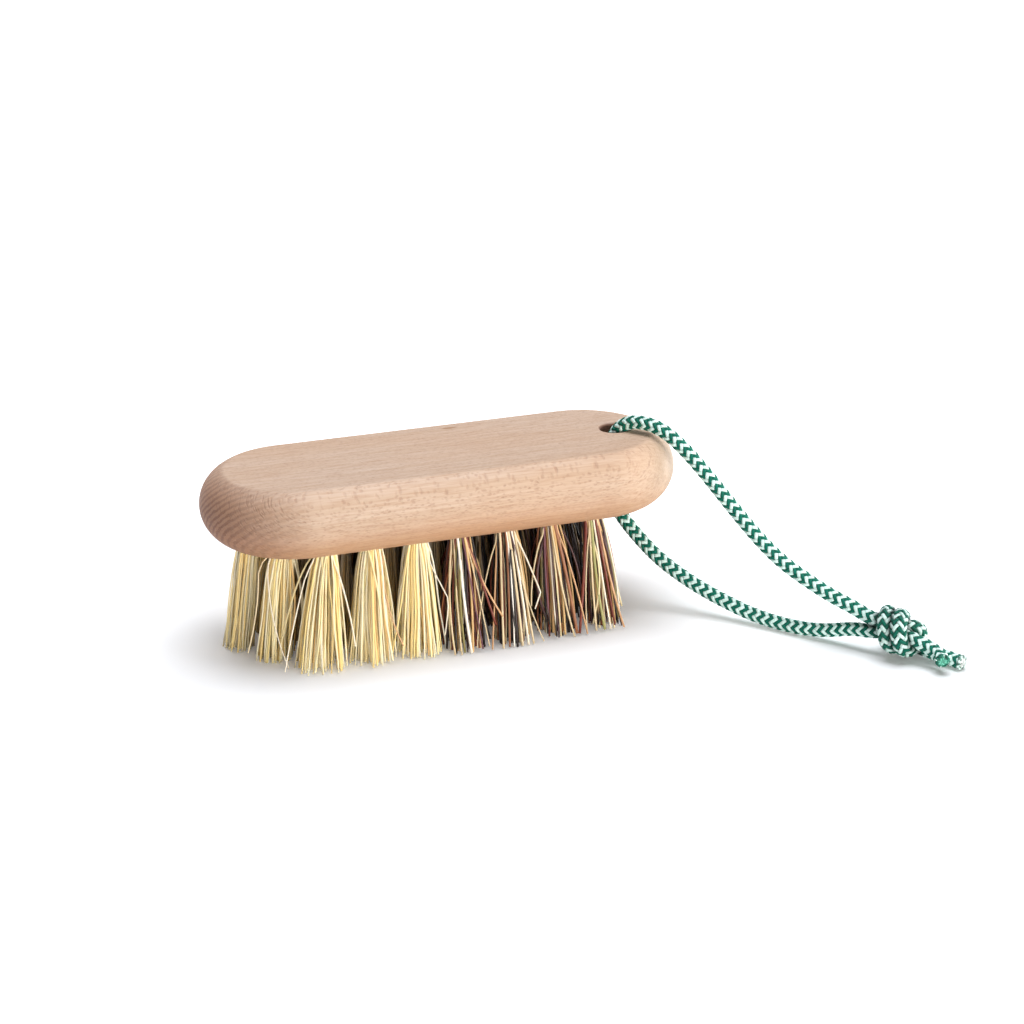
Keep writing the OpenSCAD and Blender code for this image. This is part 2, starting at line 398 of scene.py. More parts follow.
# Reach from the axis of the cord hole, offset out of the plane, and height, in metres
UPPER_ROUTE = [
    (-0.0015, 0, 0.0405), (-0.0012, 0, 0.0435), (-0.0004, 0, 0.0466), (0.0012, 0, 0.0495),
    (0.0037, 0, 0.0517), (0.0067, 0, 0.0528), (0.0100, 0, 0.0530), (0.0135, 0, 0.0525),
    (0.0175, 0, 0.0509), (0.0215, 0, 0.0483), (0.027, 0, 0.0438), (0.033, 0, 0.0382),
    (0.040, 0, 0.0315), (0.047, 0, 0.0253), (0.054, 0, 0.0204), (0.062, 0, 0.0165),
    (0.070, 0, 0.0134), (0.077, 0, 0.0112), (0.084, 0, 0.0100),
]
LOWER_ROUTE = [
    (-0.0017, 0, 0.0405), (-0.0017, 0, 0.037), (-0.0016, 0, 0.0335), (-0.0009, 0, 0.030),
    (0.0007, 0, 0.0266), (0.0033, 0, 0.0233), (0.0085, 0, 0.0184), (0.0145, 0, 0.0139),
    (0.0215, 0, 0.0102), (0.029, 0, 0.0072), (0.037, 0, 0.0048), (0.045, 0, 0.003),
    (0.053, 0, 0.0022), (0.061, 0, 0.0023), (0.069, 0, 0.0036), (0.077, 0, 0.0056),
    (0.084, 0, 0.0069),
]
NEAR_ROUTE = [
    (0.093, -0.0004, 0.0066), (0.0965, -0.0006, 0.0058), (0.0998, -0.0011, 0.005),
    (0.1022, -0.0023, 0.0044), (0.1038, -0.0042, 0.004),
]
FAR_ROUTE = [
    (0.092, 0.0028, 0.0034), (0.095, 0.003, 0.0029), (0.099, 0.0028, 0.0024),
    (0.103, 0.0023, 0.0022), (0.1072, 0.0013, 0.0022),
]
KNOT_MIDDLE = np.array([0.088, 0.001, 0.0073])
# The same point in the frame, in millimetres
KNOT_CENTRE = np.array(spot(*KNOT_MIDDLE)) / MM
WRAP_R = 4.55


def wrap(start, slope, first, last):
    """Points of one wrap, turned round the knot's axis from first to last degrees. At 90
    degrees the wrap is start along that axis, and it gains slope with each quarter turn."""
    found = []
    for degrees in range(first, last - 1, -30):
        along = start + slope * (degrees - 90) / 90
        a = math.radians(degrees)
        found.append((along, -WRAP_R * math.sin(a), WRAP_R * math.cos(a)))
    return found


# Inside of the knot, in millimetres from its middle: in, round, and out under the wrap
KNOT_FROM_UPPER = (
    [(-2.2, -0.6, 3.0), (-0.6, 0.2, 1.8), (0.8, 1.8, 0.9), (1.0, 3.8, 0.0)]
    + wrap(-1.5, 1.7, 240, -60)
    + [(-4.4, 3.9, -1.0), (-2.8, 2.0, -1.8), (-0.4, 0.0, -1.2), (2.2, -1.2, -0.4)]
)
KNOT_FROM_LOWER = (
    [(-2.0, -0.4, 0.6), (0.6, 0.6, 1.0), (3.0, 1.8, 1.2), (4.9, 3.4, 0.6)]
    + [(5.4, 4.2, -1.6), (5.2, 2.8, -3.8)]
    + wrap(2.8, 1.9, 180, -60)
    + [(-2.8, 3.6, -1.4), (-1.2, 2.2, -2.2), (1.2, 1.6, -2.8)]
)


def in_knot(points):
    """Points inside the knot in the frame, in metres."""
    return [spot(*(KNOT_MIDDLE + np.array(p) * MM)) for p in points]


def curve_through(points, step):
    """Evenly spaced points, in mm, on the natural cubic spline through the given ones, and
    the length along it at which each given point lies."""
    p = np.array(points, float) / MM
    t = np.concatenate([[0], np.cumsum(np.linalg.norm(np.diff(p, axis=0), axis=1))])
    n, h = len(p), np.diff(t)
    m = np.eye(n)
    rhs = np.zeros((n, 3))
    for i in range(1, n - 1):
        m[i, i - 1], m[i, i], m[i, i + 1] = h[i - 1], 2 * (h[i - 1] + h[i]), h[i]
        rhs[i] = 6 * ((p[i + 1] - p[i]) / h[i] - (p[i] - p[i - 1]) / h[i - 1])
    bend = np.linalg.solve(m, rhs)
    pieces = 60
    fine, marks = [], []
    for i in range(n - 1):
        u = np.linspace(0, h[i], pieces, endpoint=False)[:, None]
        a, b = bend[i], bend[i + 1]
        slope = (p[i + 1] - p[i]) / h[i] - h[i] * (2 * a + b) / 6
        marks.append(len(fine) * pieces)
        fine.append(p[i] + slope * u + a * u**2 / 2 + (b - a) * u**3 / (6 * h[i]))
    fine = np.concatenate(fine + [p[-1:]])
    marks.append(len(fine) - 1)
    run = np.concatenate([[0], np.cumsum(np.linalg.norm(np.diff(fine, axis=0), axis=1))])
    even = np.arange(0, run[-1], step)
    line = np.stack([np.interp(even, run, fine[:, c]) for c in range(3)], 1)
    return line, run[marks]


def frames(line):
    """Tangents and one cross direction along a line, carried on without twist."""
    tangent = unit(np.gradient(line, axis=0))
    side = np.zeros_like(line)
    side[0] = unit(np.cross(tangent[0], [0.3, 1, 0.2]))
    for i in range(1, len(line)):
        s = side[i - 1] - tangent[i] * (side[i - 1] @ tangent[i])
        side[i] = s / np.linalg.norm(s)
    return tangent, side


# The braid, in mm: its yarns, the length of one full turn, a yarn's half sizes, how far the
# yarns are from the middle and how much they swing in and out, and the step along the cord
CARRIERS = 16
BRAID_PITCH = 10.7
YARN_WIDE, YARN_THICK, YARN_SIDES = 0.48, 0.25, 8
BRAID_MEAN, BRAID_SWING = 1.52, 0.22
YARN_STEP = 0.16
CORE_R, CORE_SIDES = 1.28, 12
GREEN, MINT = srgb(0, 100, 81), srgb(224, 248, 241)
# Near black green of the core: painted shade in the crevices between the yarns
CREVICE_SHADE = srgb(10, 40, 33)
# Cord this near the knot's middle gives painted shade near it, not to cord this near along itself
KNOT_SPAN, SAME_TURN = 14, 5


def dimmed(distance, start, over, depth):
    """1 beyond start, and down to 1 - depth where the distance is less by over or more."""
    return 1 - depth * np.clip((start - distance) / over, 0, 1)


class Strand:
    """One cord of the loop, from inside the block through the knot to its cut end."""

    made = []

    def __init__(self, way_in, inside, tail, roll, seed):
        points = [spot(*p) for p in way_in] + in_knot(inside) + [spot(*p) for p in tail]
        self.line, marks = curve_through(points, YARN_STEP)
        self.enter, self.leave, self.end = marks[len(way_in) - 1], marks[-len(tail)], marks[-1]
        self.tangent, self.side = frames(self.line)
        self.up = np.cross(self.tangent, self.side)
        self.roll = roll
        self.run = np.arange(len(self.line)) * YARN_STEP
        out = self.line - KNOT_CENTRE
        self.far = np.linalg.norm(out, axis=1)
        out -= self.tangent * np.sum(out * self.tangent, 1, keepdims=True)
        self.radial = unit(out)
        self.across = np.cross(self.tangent, self.radial)
        self.flat = np.zeros(len(self.line))
        self.rng = np.random.default_rng(seed)
        Strand.made.append(self)

    def flatten(self, amount):
        """The wraps of the knot are pressed flat against it, with soft changes."""
        inside = (self.run > self.enter) & (self.run < self.leave)
        level = np.clip(self.far - 3.6, 0, 1) * inside
        window = 25
        self.flat = amount * np.convolve(level, np.ones(window) / window, "same")

    def knot_shade(self, verts, run):
        """How pale each vertex is in painted shade: darker in the knot, most where two turns of cord
        meet.
        """
        apart = 9.0
        near = np.full(len(verts), apart)
        for strand in Strand.made:
            for at in np.flatnonzero(strand.far < KNOT_SPAN)[::5]:
                gap = np.linalg.norm(verts - strand.line[at], axis=1)
                if strand is self:
                    gap = np.where(np.abs(run - strand.run[at]) < SAME_TURN, apart, gap)
                near = np.minimum(near, gap)
        # painted shade in the creases between turns and over the whole knot
        crease_shade = dimmed(near, 3.5, 1.3, 0.75)
        inside = dimmed(np.linalg.norm(verts - KNOT_CENTRE, axis=1), 9, 3, 0.28)
        return (crease_shade * inside)[:, None]

    def part(self, name, start, stop, material, cut=None):
        """The braid between two lengths along the strand, as one object, and its middle line.
        cut gives the rim's and the middle's colour of the cut face at its end."""
        low, high = int(start / YARN_STEP), min(int(stop / YARN_STEP) + 1, len(self.line) - 1)
        pick = slice(low, high + 1)
        pieces = [self.yarns(pick), self.core(pick)]
        if cut:
            pieces.append(self.cut_face(high, *cut))
        verts, shade, uv = (np.concatenate([p[i] for p in pieces]) for i in (0, 3, 4))
        starts = np.cumsum([0] + [len(p[0]) for p in pieces])
        quads, tris = (
            np.concatenate([p[i] + s for p, s in zip(pieces, starts)]) for i in (1, 2)
        )
        return mesh_object(name, verts, quads, tris, material, shade, uv), self.line[pick]

    def yarns(self, pick):
        """The yarns, half of which wind one way and half the other, over and under."""
        # the length along the cord in eighths of a turn
        v = self.run[pick] * 8 / BRAID_PITCH
        paths, weave_shade, colours = [], [], []
        for way in (1, -1):
            for i in range(CARRIERS // 2):
                theta = (np.pi / 4) * (i + way * v) + self.roll
                over = way * np.cos(4 * (theta - self.roll) - np.pi / 4)
                reach = BRAID_MEAN + BRAID_SWING * np.tanh(2.2 * over)
                c, s = np.cos(theta)[:, None], np.sin(theta)[:, None]
                paths.append(reach[:, None] * (c * self.side[pick] + s * self.up[pick]))
                # painted shade where a yarn dives under another, and a painted highlight on its
                # crest
                weave_shade.append(0.58 + 0.56 * np.clip(0.5 + 0.9 * over, 0, 1))
                colours.append(GREEN if i % 2 else MINT)
        offset = np.array(paths)
        outward = unit(offset)
        # where the cord is pressed flat it is less deep and wider
        flat = self.flat[pick][None, :, None]
        radial, across = self.radial[pick][None], self.across[pick][None]
        in_depth = np.sum(offset * radial, -1, keepdims=True) * radial
        in_width = np.sum(offset * across, -1, keepdims=True) * across
        offset = offset - 0.14 * flat * in_depth + 0.22 * flat * in_width
        path = self.line[pick][None] + offset
        across_yarn = unit(np.cross(unit(np.gradient(path, axis=1)), outward))
        n, k = path.shape[:2]
        wide = np.full((n, k), YARN_WIDE)
        thick = np.full((n, k), YARN_THICK)
        verts, quads, caps, where = tubes(path, across_yarn, outward, wide, thick, YARN_SIDES)
        number, ring, side = where.T
        jitter = self.rng.uniform(0.9, 1.08, (n, 1))
        shade = np.array(colours)[number]
        shade[:, :3] *= jitter[number] * np.array(weave_shade)[number, ring, None]
        run = self.run[pick][ring]
        shade[:, :3] *= self.knot_shade(verts, run)
        uv = np.stack([side / YARN_SIDES + 3.1 * number, run * 1.45], 1)
        return verts, quads, caps, shade, uv

    def core(self, pick):
        """The core that shows between the yarns, near black green: painted shade in the crevices."""
        line, side, up = self.line[pick][None], self.side[pick][None], self.up[pick][None]
        r = np.full(line.shape[:2], CORE_R)
        verts, quads, caps, where = tubes(line, side, up, r, r, CORE_SIDES)
        uv = np.stack([where[:, 2] / 3.0, where[:, 1] * YARN_STEP], 1)
        return verts, quads, caps, np.tile(CREVICE_SHADE, (len(verts), 1)), uv

    def cut_face(self, index, rim, middle):
        """The frayed face where the cord is cut: a bulging disc of yarn ends. The two colours
        of the rim take turns round it."""
        reach = np.array([0.01, 0.5, 0.95, 1.35, 1.7, 1.98, 2.0, 1.7])
        proud = np.array([0.42, 0.4, 0.36, 0.3, 0.2, 0.0, -0.35, -0.6])
        around, ring = 28, len(reach)
        angle = 2 * np.pi * np.arange(around) / around
        edge = self.rng.uniform(0.94, 1.06, (ring, around)) * reach[:, None]
        lift = proud[:, None] + self.rng.uniform(-0.14, 0.14, (ring, around))
        side, up, ahead = self.side[index], self.up[index], self.tangent[index]
        verts = (
            self.line[index] + (edge * np.cos(angle))[..., None] * side
            + (edge * np.sin(angle))[..., None] * up + lift[..., None] * ahead
        ).reshape(-1, 3)
        grid = np.arange(ring * around).reshape(ring, around)
        a, b = grid[:-1], grid[1:]
        quads = np.stack([a, b, np.roll(b, -1, 1), np.roll(a, -1, 1)], -1).reshape(-1, 4)
        share = np.clip((reach - 1.0) / 0.35, 0, 1)[:, None] * np.ones(around)
        share = np.clip(share + self.rng.uniform(-0.4, 0.4, share.shape), 0, 1)[..., None]
        edging = np.array(rim)[np.arange(around) // 2 % 2]
        shade = ((1 - share) * np.array(middle) + share * edging).reshape(-1, 4)
        # a third of the yarn ends lie in shadow
        dark_end = self.rng.uniform(0, 1, (ring * around, 1)) < 0.35
        shade = shade * self.rng.uniform(0.7, 1.0, (ring * around, 1)) * np.where(dark_end, 0.35, 1)
        uv = np.meshgrid(np.arange(ring) * 0.4, np.arange(around) * 0.2, indexing="ij")
        uv = np.stack(uv, -1).reshape(-1, 2)
        return verts, quads, np.zeros((0, 3), int), shade, uv


yarn = braid_yarn()
first = Strand(UPPER_ROUTE, KNOT_FROM_UPPER, NEAR_ROUTE, 0.2, 11)
second = Strand(LOWER_ROUTE, KNOT_FROM_LOWER, FAR_ROUTE, 0.5, 12)
first.flatten(0.35)
second.flatten(1.0)
braid_upper, upper_path = first.part("braid_upper", 0, first.enter, yarn)
braid_lower, lower_path = second.part("braid_lower", 0, second.enter, yarn)
knot_first, _ = first.part("knot_first_strand", first.enter, first.leave, yarn)
knot_second, _ = second.part("knot_second_strand", second.enter, second.leave, yarn)
near_cut = ((GREEN, GREEN), srgb(130, 228, 198))
far_cut = ((MINT, GREEN), srgb(250, 252, 250))
tail_near, _ = first.part("tail_near_braid", first.leave, first.end, yarn, near_cut)
tail_far, _ = second.part("tail_far_braid", second.leave, second.end, yarn, far_cut)
for piece, node in (
    (braid_upper, "cord_upper"), (braid_lower, "cord_lower"), (knot_first, "knot"),
    (knot_second, "knot"), (tail_near, "tail_near"), (tail_far, "tail_far"),
):
    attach(piece, "hanging_loop")
    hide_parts(node)


def profile():
    """Half of the block's section from the flat top round to the flat bottom, with the
    crease between the flat and the round side eased. (distance from the middle, height)"""
    half = BLOCK_T / 2
    r = (half**2 + SIDE_BULGE**2) / (2 * SIDE_BULGE)
    centre = BLOCK_W / 2 - r
    # the easing arc touches the flat from below and the side arc from inside
    down = half - CREASE_EASE
    over = math.sqrt((r - CREASE_EASE) ** 2 - down**2)
    turn = math.atan2(over, down)
    points = [(centre + over - inset, half) for inset in (1.2, 0.4)]
    points += [
        (centre + over + CREASE_EASE * math.sin(a), down + CREASE_EASE * math.cos(a))
        for a in np.linspace(0, turn, 7)
    ]
    points += [
        (centre + r * math.sin(a), r * math.cos(a)) for a in np.linspace(turn, math.pi / 2, 16)[1:]
    ]
    points += [(x, -z) for x, z in reversed(points[:-1])]
    return np.array(points)


def stadium():
    """Medial points and unit directions of the block's outline, going round once."""
    turn = np.linspace(-np.pi / 2, np.pi / 2, 49)
    right = [(END_X, 0, math.cos(a), math.sin(a)) for a in turn]
    left = [(-END_X, 0, -math.cos(a), -math.sin(a)) for a in turn]
    straight = np.linspace(END_X, -END_X, 40)[1:-1]
    top = [(x, 0, 0, 1) for x in straight]
    low = [(-x, 0, 0, -1) for x in straight]
    return np.array(right + top + left + low)


def block_mesh(material):
    """The block without its holes."""
    section = profile()
    outline = stadium()
    n, k = len(outline), len(section)
    verts = np.zeros((n, k, 3))
    verts[..., 0] = outline[:, None, 0] + outline[:, None, 2] * section[None, :, 0]
    verts[..., 1] = outline[:, None, 1] + outline[:, None, 3] * section[None, :, 0]
    verts[..., 2] = BRISTLE_L + BLOCK_T / 2 + section[None, :, 1]
    bm = bmesh.new()
    made = [[bm.verts.new(Vector(v) * MM) for v in row] for row in verts]
    for i in range(n):
        j = (i + 1) % n
        for c in range(k - 1):
            bm.faces.new((made[i][c], made[i][c + 1], made[j][c + 1], made[j][c]))
    bm.faces.new([row[0] for row in made])
    bm.faces.new([row[-1] for row in reversed(made)])
    bmesh.ops.recalc_face_normals(bm, faces=bm.faces)
    ob = from_bmesh("wood_block", bm)
    ob.data.materials.append(material)
    return ob


def tuft_places():
    """(name, place, lean) of each tuft, in the frame's order."""
    ends = [(END_TUFT_X, 0), (END_PAIR_X, -END_PAIR_Y), (END_PAIR_X, END_PAIR_Y)]
    full = [((c - 3) * PITCH, y) for y in (-OUTER_Y, 0, OUTER_Y) for c in range(7)]
    between = [((c - 2.5) * PITCH, y) for y in (-OUTER_Y / 2, OUTER_Y / 2) for c in range(6)]
    places = np.array(ends + full + between)
    border = -PITCH / 4
    light = [p for p in places if p[0] < border]
    dark = [p for p in places if p[0] >= border]
    found = []
    for kind, group in (("light", light), ("dark", dark)):
        for i, p in enumerate(group):
            away = np.array([LEAN_END * p[0] / abs(END_TUFT_X), LEAN_SIDE * p[1] / OUTER_Y])
            found.append((kind, i + 1, p, away))
    return found


TUFTS = tuft_places()


def lathe(bm, rings, matrix, sides):
    """A closed turned shape from (radius, height) rings."""
    turns = [2 * math.pi * a / sides for a in range(sides)]
    made = []
    for r, z in rings:
        points = [matrix @ Vector((r * math.cos(a), r * math.sin(a), z)) * MM for a in turns]
        made.append([bm.verts.new(point) for point in points])
    for low, high in zip(made, made[1:]):
        for a in range(sides):
            b = (a + 1) % sides
            bm.faces.new((low[a], low[b], high[b], high[a]))
    bm.faces.new(list(reversed(made[0])))
    bm.faces.new(made[-1])


def hole_axis(p, away):
    """Placement at the mouth of a tuft's hole, with +Z up along the hole."""
    along = Vector((-away[0], -away[1], BRISTLE_L)).normalized()
    turn = Vector((0, 0, 1)).rotation_difference(along).to_matrix().to_4x4()
    return Matrix.Translation(Vector((p[0], p[1], BRISTLE_L))) @ turn


def cut_holes(block):
    """Cuts the holes of the tufts and of the cord into the block."""
    bm = bmesh.new()
    r = TUFT_HOLE_D / 2
    for _, _, p, away in TUFTS:
        lathe(bm, [(r, -1), (r, TUFT_HOLE_DEPTH)], hole_axis(p, away), 40)
    r = CORD_HOLE_D / 2
    # (radius, depth in the block): each mouth is rounded over one millimetre
    mouth = [(r + 1.0 - math.sin(a), 1 - math.cos(a)) for a in np.radians((12, 30, 48, 66, 90))]
    low = [(r + 1.05, -0.6), *mouth]
    high = [(x, BLOCK_T - z) for x, z in reversed(low)]
    at = Matrix.Translation(Vector((CORD_HOLE_X, 0, BRISTLE_L)))
    lathe(bm, low + high, at, 72)
    bmesh.ops.recalc_face_normals(bm, faces=bm.faces)
    cutter = from_bmesh("cutter", bm)
    cut = block.modifiers.new("holes", "BOOLEAN")
    cut.operation = "DIFFERENCE"
    cut.solver = "EXACT"
    cut.object = cutter
    apply_modifiers(block)
    bpy.data.objects.remove(cutter)


def apply_modifiers(ob):
    depsgraph = bpy.context.evaluated_depsgraph_get()
    mesh = bpy.data.meshes.new_from_object(ob.evaluated_get(depsgraph))
    ob.modifiers.clear()
    ob.data = mesh


block = block_mesh(beech())
cut_holes(block)
block.data.shade_smooth()
block.data.set_sharp_from_angle(angle=math.radians(28))
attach(block, "brush")
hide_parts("block")

anchors = frame["nodes"]["tuft_anchors"]
anchors.data.materials.clear()
anchors.data.materials.append(wire())


LIGHT_SHADES = [
    (srgb(255, 243, 208), 6), (srgb(255, 235, 182), 6), (srgb(255, 224, 154), 4),
    (srgb(255, 250, 234), 2), (srgb(244, 202, 138), 1),
]
DARK_SHADES = [
    (srgb(246, 228, 184), 5), (srgb(214, 176, 122), 4), (srgb(150, 94, 60), 4),
    (srgb(112, 54, 38), 4), (srgb(74, 46, 46), 4), (srgb(32, 25, 24), 7),
    (srgb(140, 130, 76), 1), (srgb(246, 238, 222), 1),
]
# Half width and depth over the tips, and shift of their middle, for the tufts seen in front
FRONT_TIPS = {
    -3: (8.0, 8.2, 0.5, -1.2), -2: (7.0, 8.2, 1.3, -1.3), -1: (7.5, 8.0, 0.4, -1.1),
    0: (7.1, 8.0, -1.1, -1.3), 1: (5.5, 7.6, -0.9, -1.2), 2: (6.1, 6.8, -1.3, -0.6),
    3: (5.8, 6.2, -0.5, -0.2),
}
# Fibres that stand out in front: tuft, radius, colour, and (x, z) along each one in mm
CREAM, BUFF, TAN = srgb(248, 236, 216), srgb(224, 203, 166), srgb(212, 166, 124)
RUST, BROWN, OLIVE = srgb(116, 52, 38), srgb(150, 98, 66), srgb(162, 160, 104)
PLUM, BLACK, WHITE = srgb(110, 68, 80), srgb(40, 30, 28), srgb(252, 246, 236)
BOLD_FIBRES = [
    ("light_2", 0.22, CREAM, [(-52.7, 29.9), (-53.3, 18.6), (-52.9, 12.0), (-50.2, 0.3)]),
    ("light_2", 0.22, BUFF, [(-55.7, 25.3), (-57.3, 17.0), (-60.9, 5.9)]),
    ("light_4", 0.2, CREAM, [(-42.5, 30.3), (-46.0, 24.7), (-48.8, 14.5), (-53.1, 2.6)]),
    ("light_4", 0.24, CREAM, [(-36.6, 29.8), (-36.2, 26.7), (-34.6, 20.1), (-33.2, 6.7)]),
    ("light_5", 0.24, TAN, [(-23.2, 27.3), (-22.6, 13.9), (-19.8, 4.9)]),
    ("light_6", 0.2, CREAM, [(-10.8, 30.6), (-10.2, 25.3), (-6.3, 16.1), (-6.4, 13.1), (-7.9, 6.3)]),
    ("dark_1", 0.34, BUFF, [(-3.0, 31.0), (-5.3, 18.2), (-5.5, 0.4)]),
    ("dark_1", 0.5, WHITE, [(-1.7, 30.9), (-1.8, 17.7), (-0.8, 0.3)]),
    ("dark_1", 0.3, BUFF, [(-2.6, 30.9), (-3.5, 18.0), (-3.6, 0.2)]),
    ("dark_1", 0.3, TAN, [(0.5, 30.6), (3.9, 19.3), (8.8, 9.0)]),
    ("dark_1", 0.36, RUST, [(1.0, 29.5), (4.2, 16.9), (6.7, 7.0)]),
    ("dark_1", 0.26, BUFF, [(0.6, 28.8), (2.5, 15.6), (4.4, 1.5)]),
    ("dark_1", 0.26, PLUM, [(-0.2, 27.4), (1.1, 13.9), (2.5, 1.0)]),
    ("dark_2", 0.22, BUFF, [(9.9, 30.8), (6.1, 21.6), (2.9, 12.5), (0.9, 1.4)]),
    ("dark_2", 0.3, TAN, [(9.9, 31.1), (7.3, 15.0), (5.2, 0.4)]),
    ("dark_2", 0.42, BUFF, [(10.5, 31.1), (9.3, 16.3), (8.4, 0.3)]),
    ("dark_2", 0.32, BROWN, [(11.9, 30.9), (11.1, 16.0), (10.2, 0.4)]),
    ("dark_2", 0.45, BUFF, [(12.6, 31.4), (13.2, 18.0), (13.9, 0.3)]),
    ("dark_2", 0.48, CREAM, [(13.5, 31.2), (14.5, 17.8), (15.7, 0.3)]),
    ("dark_2", 0.36, BUFF, [(14.5, 30.3), (15.6, 16.9), (17.2, 0.4)]),
    ("dark_2", 0.3, WHITE, [(12.1, 29.6), (12.0, 12.4), (11.5, 0.3)]),
    ("dark_2", 0.36, BLACK, [(12.7, 29.5), (12.6, 10.4), (12.5, 0.1)]),
    ("dark_2", 0.26, CREAM, [(14.5, 30.7), (17.6, 22.1), (20.3, 14.0), (20.1, 13.5), (18.3, 9.7)]),
    ("dark_2", 0.2, BUFF, [(13.8, 27.6), (15.5, 15.4), (17.8, 8.1), (20.1, 0.6)]),
    ("dark_3", 0.26, BUFF, [(22.7, 29.9), (18.8, 19.0), (17.6, 10.3)]),
    ("dark_3", 0.32, PLUM, [(23.2, 30.4), (22.7, 24.3), (22.5, 4.5)]),
    ("dark_3", 0.26, CREAM, [(24.3, 30.4), (24.1, 18.3), (24.3, 0.9)]),
    ("dark_3", 0.3, BUFF, [(25.1, 30.5), (26.6, 15.3), (29.5, 0.2)]),
    ("dark_3", 0.28, TAN, [(26.9, 30.3), (29.8, 16.7), (32.2, 9.8), (33.2, 0.4)]),
    ("dark_3", 0.5, BROWN, [(26.3, 30.0), (28.2, 17.8), (30.3, 1.0)]),
    ("dark_4", 0.5, RUST, [(35.6, 30.4), (33.5, 15.9), (31.2, 0.7)]),
    ("dark_4", 0.26, BUFF, [(36.2, 29.5), (33.6, 10.3), (33.4, 0.4)]),
    ("dark_4", 0.5, OLIVE, [(36.9, 30.4), (37.3, 12.9), (38.7, 0.8)]),
    ("dark_4", 0.3, CREAM, [(37.6, 30.3), (38.8, 15.1), (40.5, 0.6)]),
    ("dark_4", 0.34, TAN, [(38.9, 30.5), (41.6, 12.3), (44.4, 0.6)]),
    ("dark_4", 0.36, RUST, [(38.2, 30.0), (40.1, 14.2), (41.7, 1.6)]),
    ("dark_4", 0.36, BUFF, [(36.4, 30.3), (35.9, 14.7), (36.2, 0.8)]),
]
# How far in front of their tuft the tips of these fibres stand, in mm
TRACED_REACH = {
    "light_2": 10.5, "light_4": 10.5, "light_5": 10.5, "light_6": 10.5,
    "dark_1": 10.5, "dark_2": 10.5, "dark_3": 9.5, "dark_4": 9.1,
}
# They leave the wood this far from the middle of their hole, at most this far aside, in mm
ROOT_R, ROOT_ASIDE = 3.0, 2.9
# and they start inside it, by this share of their length
TRACED_DEPTH = 0.08
# A fibre's points from the wood to its tip; one more lies in the hole, this deep in mm
STEPS = 11
ALONG = np.linspace(0, 1, STEPS)
ROOT_DEPTH = 2.5
FIBRE_SIDES = 6


def smooth_through(z, z_given, x_given):
    """x at the heights z along a fibre: the parabola nearest to up to four given points, or
    straight stretches from point to point where a bent fibre has more."""
    if len(z_given) < 5:
        return np.polyval(np.polyfit(z_given, x_given, 2), z)
    return np.interp(-z, -z_given, x_given)


def bold_paths(name, p, z):
    """Paths, radii and colours of the fibres that stand out in front of one tuft."""
    found = [b for b in BOLD_FIBRES if b[0] == name]
    paths = np.zeros((len(found), len(z), 3))
    for path, (_, _, _, points) in zip(paths, found):
        x_given, z_given = np.array(points).T
        low = z_given[-1]
        path[:, 2] = BRISTLE_L + (low - BRISTLE_L) * (BRISTLE_L - z) / BRISTLE_L
        x = smooth_through(path[:, 2], z_given, x_given)
        root = np.clip(x[1], p[0] - ROOT_ASIDE, p[0] + ROOT_ASIDE)
        # over its first 5 mm it comes out of the hole to where it shows
        fade = np.clip((path[:, 2] - BRISTLE_L + 5) / 5, 0, 1) ** 2
        path[:, 0] = x + (root - x) * fade
        out = math.sqrt(max(ROOT_R**2 - (root - p[0]) ** 2, 0))
        down = np.clip((BRISTLE_L - path[:, 2]) / BRISTLE_L, 0, 1)
        path[:, 1] = p[1] - out - (TRACED_REACH[name] - out) * down**0.8
    return paths, np.array([b[1] for b in found]), [b[2] for b in found]


# A kind of tuft: its fibres, their radius, the share of strays, how far these are thrown, how
# much a fibre bows, and its shades with their weights
Kind = namedtuple("Kind", "count radius stray throw bow shades")
LIGHT = Kind(120, (0.2, 0.34), 0.05, 1.6, 0.3, LIGHT_SHADES)
DARK = Kind(88, (0.22, 0.44), 0.12, 2.4, 0.55, DARK_SHADES)
# Painted shade inside the brush: what is left of a fibre's colour at its root and at its tip
ROOT_SHADE, TIP_SHADE = np.array((0.16, 0.12, 0.09)), np.array((0.75, 0.66, 0.54))


def tip_spread(p, rng):
    """Half width and depth over the tips of a tuft, and shift of their middle."""
    usual = (6.3 + rng.uniform(-0.4, 0.5), 5.9, 0.0, 0.0)
    if abs(p[1] + OUTER_Y) < 0.1:
        return FRONT_TIPS[round(p[0] / PITCH)]
    if p[0] < END_TUFT_X + 0.1:
        return (4.2, 4.8, 1.2, 0.0)
    if p[0] < END_PAIR_X + 0.1:
        return (5.6, 5.4, 1.2, 0.0)
    return usual


